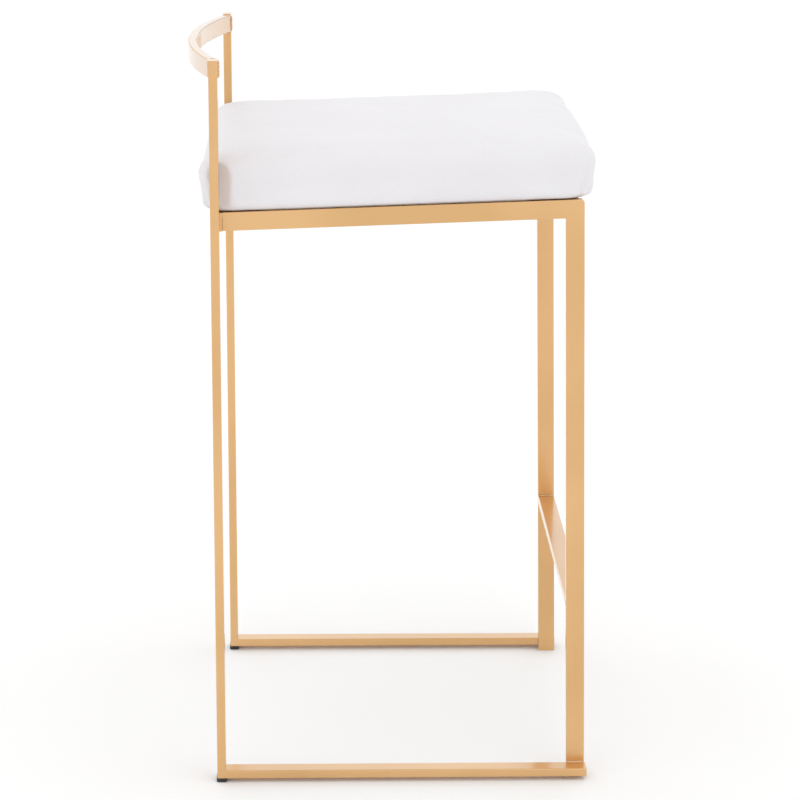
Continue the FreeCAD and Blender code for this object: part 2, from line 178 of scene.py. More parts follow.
class ColourDrift(Effect):
    """Slow change between two colours, with faint speckle."""

    title = "Colour drift"
    inputs = {"Place": VECTOR, "Scale": FLOAT, "Light": COLOUR, "Deep": COLOUR, "Speckle": FLOAT}
    outputs = {"Color": COLOUR}

    def build(self, nodes: Nodes, given: dict, out: bpy.types.Node) -> None:
        """Mixes the two colours by a slow noise and darkens it by a fine one."""
        slow = nodes.noise(given["Place"], given["Scale"], 2.0)
        share = nodes.add(
            "ShaderNodeMapRange", {"Value": slow, "From Min": 0.34, "From Max": 0.68}
        ).outputs["Result"]
        mixed = nodes.blend(share, given["Light"], given["Deep"])
        fine = nodes.noise(given["Place"], nodes.maths("MULTIPLY", given["Scale"], 60.0), 2.0)
        dark = nodes.maths("MULTIPLY", fine, given["Speckle"])
        nodes.feed(out.inputs["Color"], nodes.blend(dark, mixed, (0.0, 0.0, 0.0, 1.0)))


class FineGrain(Effect):
    """Fine unevenness of a worked surface, as a roughness and a height."""

    title = "Fine grain"
    inputs = {"Place": VECTOR, "Scale": FLOAT, "Smooth": FLOAT, "Rough": FLOAT}
    outputs = {"Roughness": FLOAT, "Height": FLOAT}

    def build(self, nodes: Nodes, given: dict, out: bpy.types.Node) -> None:
        """Adds two noises, a coarse and a fine one."""
        coarse = nodes.noise(given["Place"], given["Scale"], 4.0)
        fine = nodes.noise(given["Place"], nodes.maths("MULTIPLY", given["Scale"], 5.0), 2.0)
        shares = (nodes.maths("MULTIPLY", coarse, 0.6), nodes.maths("MULTIPLY", fine, 0.4))
        both = nodes.maths("ADD", *shares)
        nodes.feed(out.inputs["Height"], both)
        nodes.feed(out.inputs["Roughness"], nodes.spread(both, given["Smooth"], given["Rough"]))


class Pebble(Effect):
    """Embossed pebble grain: small domes with creases between them."""

    title = "Pebble grain"
    inputs = {"Place": VECTOR, "Scale": FLOAT, "Waver": FLOAT}
    outputs = {"Height": FLOAT, "Crease": FLOAT}

    def build(self, nodes: Nodes, given: dict, out: bpy.types.Node) -> None:
        """Bends the place by a noise, then reads the distance to the cells' edges."""
        bend = nodes.add("ShaderNodeTexNoise", {"Vector": given["Place"], "Scale": given["Scale"]})
        shift = nodes.add(
            "ShaderNodeVectorMath",
            {0: bend.outputs["Color"], "Scale": given["Waver"]},
            operation="SCALE",
        ).outputs[0]
        place = nodes.add("ShaderNodeVectorMath", {0: given["Place"], 1: shift}).outputs[0]
        cells = nodes.add(
            "ShaderNodeTexVoronoi",
            {"Vector": place, "Scale": given["Scale"]},
            feature="DISTANCE_TO_EDGE",
        ).outputs["Distance"]
        dome = nodes.add(
            "ShaderNodeMapRange",
            {"Value": cells, "From Max": 0.22},
            interpolation_type="SMOOTHSTEP",
        ).outputs["Result"]
        nodes.feed(out.inputs["Height"], dome)
        nodes.feed(out.inputs["Crease"], nodes.maths("SUBTRACT", 1.0, dome))


# ---------------------------------------------------------------- finishes


class Run(Enum):
    """Which way the polishing lines of a bar run, as a stretch of the pattern."""

    ACROSS = (0.05, 1.0, 1.0)
    FORWARD = (1.0, 0.05, 1.0)
    UP = (1.0, 1.0, 0.05)
    NONE = (1.0, 1.0, 1.0)


@dataclass(frozen=True)
class Finish:
    """What all finishes have: a name and a material with a Principled shader.

    A finish's name differs from the record's slots.
    """

    name: str

    def dress(self, nodes: Nodes, shader: bpy.types.Node, place: bpy.types.NodeSocket) -> None:
        """Adds the finish's own nodes.

        Args:
            nodes: The material's tree.
            shader: Its Principled shader.
            place: Object coordinates, in metres.
        """
        raise NotImplementedError

    def material(self) -> bpy.types.Material:
        """Returns the finish's material, made when it is first asked for."""
        if self.name in bpy.data.materials:
            return bpy.data.materials[self.name]
        material = bpy.data.materials.new(self.name)
        material.use_nodes = True
        nodes = Nodes(material.node_tree)
        shader = material.node_tree.nodes["Principled BSDF"]
        place = nodes.add("ShaderNodeTexCoord").outputs["Object"]
        self.dress(nodes, shader, place)
        return material


def set_bump(
    nodes: Nodes, shader: bpy.types.Node, height: object, depth: float, share: float
) -> None:
    """Feeds a height through a Bump node to the shader's normal.

    Args:
        nodes: The material's tree.
        shader: Its Principled shader.
        height: The height socket, 0..1.
        depth: Real depth of the relief, in metres.
        share: Strength of the effect, 0..1.
    """
    inputs = {"Height": height, "Distance": depth, "Strength": share}
    nodes.feed(shader.inputs["Normal"], nodes.add("ShaderNodeBump", inputs).outputs["Normal"])


@dataclass(frozen=True)
class GoldPlate(Finish):
    """Satin gold plating under clear lacquer, polished along the bar."""

    run: Run = Run.NONE
    light: Colour = (0.76, 0.44, 0.165, 1.0)
    deep: Colour = (0.68, 0.382, 0.128, 1.0)
    smooth: float = 0.24
    rough: float = 0.38
    relief: float = 0.00004

    def dress(self, nodes: Nodes, shader: bpy.types.Node, place: bpy.types.NodeSocket) -> None:
        """Metal with polishing lines, slow colour change and a lacquer coat."""
        stretched = nodes.add("ShaderNodeMapping", {"Vector": place, "Scale": self.run.value})
        lines = FineGrain().place(
            nodes,
            Place=stretched.outputs["Vector"],
            Scale=900.0,
            Smooth=self.smooth,
            Rough=self.rough,
        )
        tint = ColourDrift().place(
            nodes, Place=place, Scale=7.0, Light=self.light, Deep=self.deep, Speckle=0.04
        )
        nodes.feed(shader.inputs["Base Color"], tint["Color"])
        nodes.feed(shader.inputs["Roughness"], lines["Roughness"])
        shader.inputs["Metallic"].default_value = 1.0
        shader.inputs["Coat Weight"].default_value = 1.0
        shader.inputs["Coat Roughness"].default_value = 0.12
        shader.inputs["Coat IOR"].default_value = 1.8
        set_bump(nodes, shader, lines["Height"], self.relief, 0.5)


@dataclass(frozen=True)
class FauxLeather(Finish):
    """White coated fabric with a fine pebble grain."""

    light: Colour = (0.80, 0.787, 0.812, 1.0)
    deep: Colour = (0.775, 0.762, 0.788, 1.0)

    def dress(self, nodes: Nodes, shader: bpy.types.Node, place: bpy.types.NodeSocket) -> None:
        """Pale skin, with painted shade making the creases of its grain a little duller and darker.
        """
        tint = ColourDrift().place(
            nodes, Place=place, Scale=9.0, Light=self.light, Deep=self.deep, Speckle=0.02
        )
        grain = Pebble().place(nodes, Place=place, Scale=620.0, Waver=0.0007)
        soft = FineGrain().place(nodes, Place=place, Scale=160.0, Smooth=0.40, Rough=0.56)
        # painted shade: the grain's creases are darkened toward grey, as if shade fell in them
        crease_shade = nodes.maths("MULTIPLY", grain["Crease"], 0.07)
        shade = nodes.blend(crease_shade, tint["Color"], (0.45, 0.43, 0.42, 1.0))
        nodes.feed(shader.inputs["Base Color"], shade)
        nodes.feed(shader.inputs["Roughness"], soft["Roughness"])
        height = nodes.maths("ADD", grain["Height"], nodes.maths("MULTIPLY", soft["Height"], 0.8))
        set_bump(nodes, shader, height, 0.00012, 0.5)


@dataclass(frozen=True)
class Moulded(Finish):
    """Moulded plastic with a fine matt texture."""

    light: Colour = (0.03, 0.03, 0.032, 1.0)
    deep: Colour = (0.016, 0.016, 0.017, 1.0)
    smooth: float = 0.45
    rough: float = 0.65

    def dress(self, nodes: Nodes, shader: bpy.types.Node, place: bpy.types.NodeSocket) -> None:
        """Even plastic with a spark-eroded surface."""
        tint = ColourDrift().place(
            nodes, Place=place, Scale=60.0, Light=self.light, Deep=self.deep, Speckle=0.05
        )
        grain = FineGrain().place(
            nodes, Place=place, Scale=1500.0, Smooth=self.smooth, Rough=self.rough
        )
        nodes.feed(shader.inputs["Base Color"], tint["Color"])
        nodes.feed(shader.inputs["Roughness"], grain["Roughness"])
        set_bump(nodes, shader, grain["Height"], 0.00005, 0.4)


@dataclass(frozen=True)
class Zinc(Finish):
    """Bright zinc plating on screws, washers and staples."""

    light: Colour = (0.66, 0.67, 0.69, 1.0)
    deep: Colour = (0.52, 0.53, 0.56, 1.0)

    def dress(self, nodes: Nodes, shader: bpy.types.Node, place: bpy.types.NodeSocket) -> None:
        """Metal with a blotchy sheen."""
        tint = ColourDrift().place(
            nodes, Place=place, Scale=140.0, Light=self.light, Deep=self.deep, Speckle=0.1
        )
        grain = FineGrain().place(nodes, Place=place, Scale=1200.0, Smooth=0.25, Rough=0.5)
        nodes.feed(shader.inputs["Base Color"], tint["Color"])
        nodes.feed(shader.inputs["Roughness"], grain["Roughness"])
        shader.inputs["Metallic"].default_value = 1.0
        set_bump(nodes, shader, grain["Height"], 0.00004, 0.4)


@dataclass(frozen=True)
class Plywood(Finish):
    """Birch plywood: long grain on the faces and plies on the edges."""

    light: Colour = (0.66, 0.47, 0.28, 1.0)
    deep: Colour = (0.45, 0.28, 0.14, 1.0)
    ply: float = 0.0015

    def dress(self, nodes: Nodes, shader: bpy.types.Node, place: bpy.types.NodeSocket) -> None:
        """Stretched rings for the grain, and bands through the thickness."""
        long = nodes.add("ShaderNodeMapping", {"Vector": place, "Scale": (1.0, 0.08, 1.0)})
        grain = nodes.noise(long.outputs["Vector"], 160.0, 6.0)
        height = nodes.add("ShaderNodeSeparateXYZ", {"Vector": place}).outputs["Z"]
        plies = nodes.maths("PINGPONG", height, self.ply)
        band = nodes.maths("DIVIDE", plies, self.ply)
        share = nodes.maths("MULTIPLY", nodes.maths("ADD", grain, band), 0.5)
        nodes.feed(shader.inputs["Base Color"], nodes.blend(share, self.light, self.deep))
        nodes.feed(shader.inputs["Roughness"], nodes.spread(grain, 0.55, 0.8))
        set_bump(nodes, shader, grain, 0.0001, 0.4)


@dataclass(frozen=True)
class DustCloth(Finish):
    """Thin black non-woven cloth with a grid of bonding dimples."""

    light: Colour = (0.035, 0.035, 0.037, 1.0)
    deep: Colour = (0.014, 0.014, 0.015, 1.0)
    dimple_pitch: float = 0.0016

    def dress(self, nodes: Nodes, shader: bpy.types.Node, place: bpy.types.NodeSocket) -> None:
        """Fibres in all directions, pressed in at every dimple."""
        axes = nodes.add("ShaderNodeSeparateXYZ", {"Vector": place}).outputs
        rounds = [
            nodes.maths("SINE", nodes.maths("MULTIPLY", axes[name], math.tau / self.dimple_pitch))
            for name in ("X", "Y")
        ]
        dimples = nodes.spread(nodes.maths("MULTIPLY", *rounds), 0.4, 1.0)
        fibres = FineGrain().place(nodes, Place=place, Scale=800.0, Smooth=0.75, Rough=0.95)
        tint = ColourDrift().place(
            nodes, Place=place, Scale=30.0, Light=self.light, Deep=self.deep, Speckle=0.4
        )
        nodes.feed(shader.inputs["Base Color"], tint["Color"])
        nodes.feed(shader.inputs["Roughness"], fibres["Roughness"])
        height = nodes.maths("MULTIPLY", dimples, fibres["Height"])
        set_bump(nodes, shader, height, 0.0003, 0.7)


GOLD_ACROSS = GoldPlate("gold_across", Run.ACROSS)
GOLD_FORWARD = GoldPlate("gold_forward", Run.FORWARD)
GOLD_UP = GoldPlate("gold_up", Run.UP)
# Painted highlight: a paler, pinker copy of the frame's gold on the band, standing in for the sky's
# reflection on its faces
GOLD_BAND_PAINTED_HIGHLIGHT = GoldPlate(
    "gold_band_painted_highlight",
    Run.ACROSS,
    light=(0.775, 0.53, 0.32, 1.0),
    deep=(0.71, 0.475, 0.27, 1.0),
)
GOLD_WELD = GoldPlate(
    "gold_weld",
    Run.NONE,
    light=(0.74, 0.43, 0.18, 1.0),
    deep=(0.50, 0.27, 0.10, 1.0),
    smooth=0.30,
    rough=0.60,
    relief=0.00025,
)
LEATHER = FauxLeather("pebbled_white_leathercloth")
GLIDE = Moulded("glide_plastic")
PLUG = Moulded(
    "plug_plastic", (0.72, 0.72, 0.70, 1.0), (0.64, 0.64, 0.61, 1.0), smooth=0.3, rough=0.5
)
ZINC = Zinc("zinc_plating")
BIRCH = Plywood("birch_plywood")
CLOTH = DustCloth("dimpled_black_cloth")


# ---------------------------------------------------------------- shared modelling


def new_object(name: str, mesh: bpy.types.Mesh, finish: Finish) -> bpy.types.Object:
    """Puts a mesh in the scene as a smooth-shaded object at the origin."""
    made = bpy.data.objects.new(name, mesh)
    bpy.context.scene.collection.objects.link(made)
    mesh.materials.clear()
    mesh.materials.append(finish.material())
    mesh.shade_smooth()
    return made


def mesh_of(shape: bmesh.types.BMesh, name: str) -> bpy.types.Mesh:
    """Turns a bmesh into a mesh and frees it."""
    mesh = bpy.data.meshes.new(name)
    shape.to_mesh(mesh)
    shape.free()
    return mesh


def smooth_step(value: float, low: float, high: float) -> float:
    """Rises smoothly from 0 at low to 1 at high."""
    share = min(1.0, max(0.0, (value - low) / (high - low)))
    return share * share * (3.0 - 2.0 * share)


def report(piece: bpy.types.Object) -> None:
    """Logs a finished piece and its number of vertices."""
    log.info("%s: %d vertices", piece.name, len(piece.data.vertices))


# ---------------------------------------------------------------- tube frame


@dataclass
class TubeFrame:
    """The members carried over from the CAD model, each with its own finish."""

    across: tuple[str, ...] = ("seat_rail_rear", "seat_rail_front", "footrest")
    forward: tuple[str, ...] = ("bottom_rail", "rail_cap", "seat_rail", "corner_plate_front")
    upright: tuple[str, ...] = ("back_leg", "leg_cap", "front_leg")
    fixings: tuple[str, ...] = (
        "seat_screws",
        "seat_washers",
        "tee_nuts",
        "cover_staples",
        "dust_cover_staples",
    )

    def finishes(self) -> Iterator[tuple[str, Finish]]:
        """Yields each visible CAD node's name with its finish."""
        for name in self.across:
            yield name, GOLD_ACROSS
        # the band gets the paler gold copy, a painted highlight
        yield "backrest_band", GOLD_BAND_PAINTED_HIGHLIGHT
        for side in SIDES:
            for name in self.forward:
                yield f"{name}_{side}", GOLD_FORWARD
            for name in self.upright:
                yield f"{name}_{side}", GOLD_UP
            yield f"corner_plate_rear_{side}", GOLD_ACROSS
            yield f"rear_tube_cap_{side}", GOLD_UP
            yield f"rear_foot_{side}", GLIDE
            yield f"foot_plug_{side}", PLUG
        for name in self.fixings:
            yield name, ZINC
        yield "seat_board", BIRCH

    def dress(self) -> None:
        """Gives each carried-over node its finish."""
        for name, finish in self.finishes():
            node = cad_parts[name]
            if not node.material_slots:
                node.data.materials.append(None)
            for slot in node.material_slots:
                slot.material = finish.material()
            log.info("%s: %s", name, finish.name)


@dataclass
class Welds:
    """Small fillet welds where the bars meet."""

    rail_radius: float = 2.0 * MM
    bar_radius: float = 1.5 * MM
    ring: int = 10
    step: float = 0.9 * MM
    ripple_pitch: float = 2.6 * MM
    ripple: float = 0.14

    def bead(self, shape: bmesh.types.BMesh, start: Vector, end: Vector, radius: float) -> None:
        """Adds one bead: a rippled rod with tapered ends, half sunk in the joint.

        Args:
            shape: The bmesh that the bead joins.
            start: One end of its middle line.
            end: The other end.
            radius: Half its thickness.
        """
        run = end - start
        turn = run.to_track_quat("Z", "Y").to_matrix().to_4x4()
        place = Matrix.Translation((start + end) / 2) @ turn
        before = len(shape.verts)
        bmesh.ops.create_cone(
            shape,
            cap_ends=True,
            segments=self.ring,
            radius1=radius,
            radius2=radius,
            depth=run.length,
            matrix=place,
        )
        along = run.normalized()
        long_edges = {
            edge
            for vert in list(shape.verts)[before:]
            for edge in vert.link_edges
            if abs((edge.verts[0].co - edge.verts[1].co).dot(along)) > run.length / 2
        }
        cuts = max(4, round(run.length / self.step))
        bmesh.ops.subdivide_edges(shape, edges=list(long_edges), cuts=cuts)
        for vert in list(shape.verts)[before:]:
            way = (vert.co - start).dot(along)
            middle = start + along * way
            wave = 1.0 + self.ripple * math.sin(math.tau * way / self.ripple_pitch)
            lump = 1.0 + 0.25 * noise.noise(vert.co / (2.2 * MM))
            edge_way = min(way, run.length - way)
            taper = 0.45 + 0.55 * smooth_step(edge_way, 0.0, 1.6 * MM)
            vert.co = middle + (vert.co - middle) * wave * lump * taper

    def foot_lines(self, side: int, name: str) -> Iterator[Line]:
        """Yields the welds between a bottom rail and a front leg."""
        low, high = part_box(f"bottom_rail_{name}")
        inner = low.x if side > 0 else high.x
        leg_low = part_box(f"front_leg_{name}")[0]
        front, rear = leg_low.y + 1.3 * MM, leg_low.y + 19.0 * MM
        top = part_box(f"rail_cap_{name}")[1].z
        for z in (top, low.z):
            yield Vector((inner, front, z)), Vector((inner, rear, z))

    def crossbar_lines(self, node: str, side: int) -> Iterator[Line]:
        """Yields the welds on top of and under one end of a cross member."""
        low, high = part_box(node)
        x = high.x if side > 0 else low.x
        for z in (low.z, high.z):
            yield Vector((x, low.y + MM, z)), Vector((x, high.y - MM, z))

    def band_lines(self, side: int, name: str) -> Iterator[Line]:
        """Yields the welds round one end of the backrest band."""
        leg_low, leg_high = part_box(f"back_leg_{name}")
        low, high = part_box("backrest_band")
        x = leg_low.x if side > 0 else leg_high.x
        for y in (leg_low.y, leg_high.y):
            yield Vector((x, y, low.z + MM)), Vector((x, y, high.z - MM))
        for z in (low.z, high.z):
            yield Vector((x, leg_low.y + MM, z)), Vector((x, leg_high.y - MM, z))

    def seat_corner_lines(self, side: int) -> Iterator[Line]:
        """Yields the upright welds at one end of the rear and front seat tubes."""
        for node in ("seat_rail_rear", "seat_rail_front"):
            low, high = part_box(node)
            x = high.x if side > 0 else low.x
            for y in (low.y, high.y):
                yield Vector((x, y, low.z + MM)), Vector((x, y, high.z - 3 * MM))

    def build(self) -> None:
        """Makes one piece of beads per joint and side."""
        for name, side in SIDES.items():
            groups = {
                f"weld_foot_{name}": (self.foot_lines(side, name), self.rail_radius),
                f"weld_footrest_{name}": (self.crossbar_lines("footrest", side), self.bar_radius),
                f"weld_band_{name}": (self.band_lines(side, name), self.bar_radius),
                f"weld_seat_{name}": (self.seat_corner_lines(side), self.bar_radius),
            }
            for title, (lines, radius) in groups.items():
                shape = bmesh.new()
                for start, end in lines:
                    self.bead(shape, start, end, radius)
                bmesh.ops.recalc_face_normals(shape, faces=shape.faces)
                piece = new_object(title, mesh_of(shape, title), GOLD_WELD)
                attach(piece, BODY)
                report(piece)


# ---------------------------------------------------------------- seat


@dataclass(frozen=True)
class SeatPlane:
    """The tilted top of the seat rails: s runs forward along them and h square to them."""

    pitch: float = math.radians(2.1)
    rail_top: float = 605.3 * MM

    def matrix(self) -> Matrix:
        """Returns the turn and shift from (x, -s, h) to the stool's frame."""
        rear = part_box("seat_rail_left")[1].y
        return Matrix.Translation((0.0, rear, self.rail_top)) @ Matrix.Rotation(-self.pitch, 4, "X")


@dataclass
class Cushion:
    """Foam cushion in a tight faux leather cover, blown up a little by its own filling."""

    plane: SeatPlane
    half_width: float = 198.8 * MM
    rear: float = -21.5 * MM
    front: float = 375.0 * MM
    top: float = 55.5 * MM
    bottom: float = 0.65 * MM
    plan_radius: float = 28.0 * MM
    top_radius: float = 20.0 * MM
    low_radius: float = 3.5 * MM
    end_radius: float = 12.0 * MM
    voxel: float = 5.0 * MM
    pressure: float = 4.0
    stretch_stiffness: float = 12.0
    shear_stiffness: float = 6.0
    bending_stiffness: float = 1.5
    cover_mass: float = 0.25
    swell: float = 5.5 * MM
    ease: float = 9.0 * MM
    frames: int = 20
    overhang: float = 1.0 * MM
    fill: float = 6.0 * MM
    leg_gap: float = 1.5 * MM
    leg_face: float = 196.0 * MM
    leg_middle: float = 7.5 * MM
    leg_half: float = 4.5 * MM
    leg_bulge: float = 9.0 * MM
    leg_ease: float = 24.0 * MM
    hem_drop: float = 0.5 * MM
    hem_inner: float = 184.0 * MM
    hem_outer: float = 190.0 * MM
    hem_height: float = 7.0 * MM
    front_crown: float = 4.5 * MM
    crown_depth: float = 70.0 * MM
    top_crown: float = 2.2 * MM
    sag: float = 0.9 * MM
    pucker: float = 0.9 * MM
    pucker_height: float = 24.0 * MM
    staple_wave: float = 5.2 * MM
    tuck: float = 2.0 * MM
    tuck_width: float = 3.2 * MM
    tuck_radius: float = 32.0 * MM
    tucks: tuple[tuple[float, float, float], ...] = (
        (0.62, 36.0 * MM, 1.0),
        (1.02, 27.0 * MM, 0.8),
    )

    @property
    def middle_s(self) -> float:
        """Returns the middle of the cushion's length, forward of the rails' rear ends."""
        return (self.front + self.rear) / 2

    def blank(self) -> bpy.types.Mesh:
        """Returns the cushion's closed form before it swells, in the seat's frame."""
        shape = bmesh.new()
        size = Vector((2 * self.half_width, self.front - self.rear, self.top - self.bottom))
        middle = Vector((0.0, -self.middle_s, (self.top + self.bottom) / 2))
        scale = Matrix.Diagonal((*size, 1.0))
        bmesh.ops.create_cube(shape, size=1.0, matrix=Matrix.Translation(middle) @ scale)
        self.round_edges(shape, self.plan_radius, 8, lambda a, b: abs(a.z - b.z) > self.top / 2)
        self.round_edges(
            shape, self.top_radius, 6, lambda a, b: min(a.z, b.z) > self.top - 0.1 * MM
        )
        self.round_edges(
            shape, self.low_radius, 3, lambda a, b: max(a.z, b.z) < self.bottom + 0.1 * MM
        )
        return mesh_of(shape, "cushion_blank")

    @staticmethod
    def round_edges(
        shape: bmesh.types.BMesh,
        radius: float,
        segments: int,
        chosen: Callable[[Vector, Vector], bool],
    ) -> None:
        """Bevels the edges that chosen accepts by their two ends."""
        edges = [e for e in shape.edges if chosen(e.verts[0].co, e.verts[1].co)]
        bmesh.ops.bevel(
            shape,
            geom=edges,
            offset=radius,
            segments=segments,
            profile=0.5,
            material=-1,
            affect="EDGES",
        )

    def remeshed(self, mesh: bpy.types.Mesh) -> bpy.types.Mesh:
        """Returns the form as an even net of small faces."""
        holder = new_object("cushion_net", mesh, LEATHER)
        remesh = holder.modifiers.new("Net", "REMESH")
        remesh.mode = "VOXEL"
        remesh.voxel_size = self.voxel
        net = self.taken(holder)
        shape = bmesh.new()
        shape.from_mesh(net)
        axes = {"use_axis_x": True, "use_axis_y": True, "use_axis_z": True}
        bmesh.ops.smooth_vert(shape, verts=shape.verts, factor=0.5, **axes)
        shape.to_mesh(net)
        shape.free()
        return net

    @staticmethod
    def taken(holder: bpy.types.Object) -> bpy.types.Mesh:
        """Returns an object's mesh with its modifiers applied, and removes the object."""
        graph = bpy.context.evaluated_depsgraph_get()
        mesh = bpy.data.meshes.new_from_object(holder.evaluated_get(graph))
        bpy.data.objects.remove(holder)
        return mesh

    def swollen(self, mesh: bpy.types.Mesh) -> bpy.types.Mesh:
        """Lets the cover swell under pressure, with its underside held by the board."""
        rest = [vert.co.copy() for vert in mesh.vertices]
        holder = new_object("cushion_swelling", mesh, LEATHER)
        board = holder.vertex_groups.new(name="board")
        for index, point in enumerate(rest):
            hold = 1.0 - smooth_step(point.z, self.bottom + 1.5 * MM, self.bottom + 5 * MM)
            if hold > 0.0:
                board.add([index], hold, "REPLACE")
        cloth = holder.modifiers.new("Swell", "CLOTH")
        settings = cloth.settings
        settings.quality = 4
        settings.mass = self.cover_mass
        settings.tension_stiffness = self.stretch_stiffness
        settings.compression_stiffness = self.stretch_stiffness
        settings.shear_stiffness = self.shear_stiffness
        settings.bending_stiffness = self.bending_stiffness
        settings.vertex_group_mass = board.name
        settings.use_pressure = True
        settings.uniform_pressure_force = self.pressure
        settings.effector_weights.gravity = 0.0
        cloth.point_cache.frame_start = 1
        cloth.point_cache.frame_end = self.frames
        scene = bpy.context.scene
        for number in range(1, self.frames + 1):
            scene.frame_set(number)
        grown = self.taken(holder)
        scene.frame_set(1)
        for vert, start in zip(grown.vertices, rest):
            shift = vert.co - start
            kept = self.swell * (1.0 - math.exp(-shift.length / self.ease))
            vert.co = start + shift.normalized() * kept
        reach = [vert.co - start for vert, start in zip(grown.vertices, rest)]
        log.info(
            "cushion swells by up to %.1f mm sideways, %.1f mm forward and %.1f mm up",
            max(r.x for r in reach) / MM,
            -min(r.y for r in reach) / MM,
            max(r.z for r in reach) / MM,
        )
        return grown

    def refined(self, mesh: bpy.types.Mesh) -> bpy.types.Mesh:
        """Returns the mesh with each face split in four and smoothed."""
        holder = new_object("cushion_fine", mesh, LEATHER)
        smooth = holder.modifiers.new("Smooth", "SUBSURF")
        smooth.levels = smooth.render_levels = 1
        return self.taken(holder)

    def round_ends(self, point: Vector) -> None:
        """Rounds the underside where the cushion hangs over the front and rear tubes."""
        radius = self.end_radius
        drop = self.bottom + radius - point.z
        for sign, reach in ((-1.0, self.front + self.overhang), (1.0, -self.rear + self.overhang)):
            gap = sign * point.y - (reach - radius)
            away = math.hypot(gap, drop)
            if gap > 0.0 and drop > 0.0 and away > radius:
                point.y -= sign * gap * (1.0 - radius / away)
                point.z = self.bottom + radius - drop * radius / away

    def fill_out(self, point: Vector) -> None:
        """Pushes the sides out above the hem, so that they stand upright."""
        grow = 1.0 + self.fill / self.half_width * smooth_step(point.z, 6.0 * MM, 50.0 * MM)
        point.x *= grow
        point.y = (point.y + self.middle_s) * grow - self.middle_s

    def press_legs(self, point: Vector) -> None:
        """Presses the cover in where the back legs hold it."""
        limit = self.leg_face - self.leg_gap
        away = max(0.0, abs(point.y - self.leg_middle) - self.leg_half)
        slack = self.leg_bulge * smooth_step(away, 0.0, self.leg_ease)
        excess = abs(point.x) - limit - slack
        if excess > 0.0:
            point.x = math.copysign(limit + slack, point.x)

    def crown(self, point: Vector) -> None:
        """Lifts the middle of the top and pushes the middle of the front face forward."""
        across = max(0.0, 1.0 - (point.x / self.half_width) ** 2)
        along = max(0.0, 1.0 - ((point.y + self.middle_s) / (self.front - self.middle_s)) ** 2)
        point.z += self.top_crown * across * along * smooth_step(point.z, self.top / 2, self.top)
        near = smooth_step(-point.y, self.front - self.crown_depth, self.front)
        point.y -= self.front_crown * across * near

    def lower_hem(self, point: Vector) -> None:
        """Lets the edge of the cover down on the rails, and keeps the rest above the board."""
        edge = smooth_step(abs(point.x), self.hem_inner, self.hem_outer)
        low = 1.0 - smooth_step(point.z, self.bottom, self.hem_height)
        point.z = max(point.z, self.bottom) - self.hem_drop * edge * low

    def hem_pull(self, point: Vector, inward: Vector) -> None:
        """Draws the lower edge in a little where the staples pull the cover under the board."""
        low = 1.0 - smooth_step(point.z, self.bottom, self.pucker_height)
        if low <= 0.0:
            return
        way = point.x - point.y * 1.3 if abs(inward.y) > abs(inward.x) else point.y
        drift = 3.0 * noise.noise(Vector((way / (38.0 * MM), 1.7, 0.0)))
        wave = math.sin(way / self.staple_wave + drift)
        patch = 0.5 + 0.5 * noise.noise(Vector((way / (60.0 * MM), 5.1, point.x * 4.0)))
        depth = self.pucker * low * low * patch * (0.5 + 0.5 * wave)
        point += inward * depth

    def corner_tucks(self, point: Vector, inward: Vector) -> None:
        """Folds the cover over itself at the foot of each corner.

        Each of tucks is its angle round the corner, its height and its share of the depth.
        """
        forward = point.y < -self.middle_s
        centre_y = -(self.front - self.plan_radius) if forward else -(self.rear + self.plan_radius)
        gap_x = abs(point.x) - (self.half_width - self.plan_radius)
        gap_y = centre_y - point.y if forward else point.y - centre_y
        if gap_x <= 0.0 or gap_y <= 0.0:
            return
        around = math.atan2(gap_y, gap_x) * self.tuck_radius
        for angle, height, share in self.tucks:
            lean = angle + 0.05 * math.copysign(1.0, point.x)
            off = around - lean * self.tuck_radius - 0.12 * point.z
            fade = 1.0 - smooth_step(point.z, self.bottom + 6.0 * MM, height)
            groove = math.exp(-((off / self.tuck_width) ** 2))
            lip = math.exp(-(((off - 2.1 * self.tuck_width) / (1.4 * self.tuck_width)) ** 2))
            point += inward * (self.tuck * share * fade * (groove - 0.45 * lip))

    def soften(self, point: Vector, inward: Vector) -> None:
        """Adds the slow unevenness of foam under a cover."""
        place = point / (85.0 * MM)
        free = smooth_step(point.z, self.bottom + 4 * MM, self.bottom + 20 * MM)
        point += inward * (self.sag * noise.noise(place + Vector((3.1, 0.7, 9.2))) * free)

    def detail(self, mesh: bpy.types.Mesh) -> None:
        """Adds what the cover does at its hem, its corners and beside the back legs."""
        normals = [vert.normal.copy() for vert in mesh.vertices]
        for vert, normal in zip(mesh.vertices, normals):
            point = vert.co.copy()
            inward = Vector((-normal.x, -normal.y, 0.0))
            flat = inward.length
            self.fill_out(point)
            self.crown(point)
            self.soften(point, -normal)
            if flat > 0.3:
                inward /= flat
                self.hem_pull(point, inward)
                self.corner_tucks(point, inward)
            self.round_ends(point)
            self.press_legs(point)
            self.lower_hem(point)
            vert.co = point

    def build(self) -> bpy.types.Object:
        """Makes the cushion and puts it on the seat."""
        net = self.remeshed(self.blank())
        grown = self.swollen(net)
        fine = self.refined(grown)
        self.detail(fine)
        fine.transform(self.plane.matrix())
        piece = new_object("seat_cushion", fine, LEATHER)
        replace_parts(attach(piece, BODY), "seat_cover", "seat_foam")
        report(piece)
        return piece


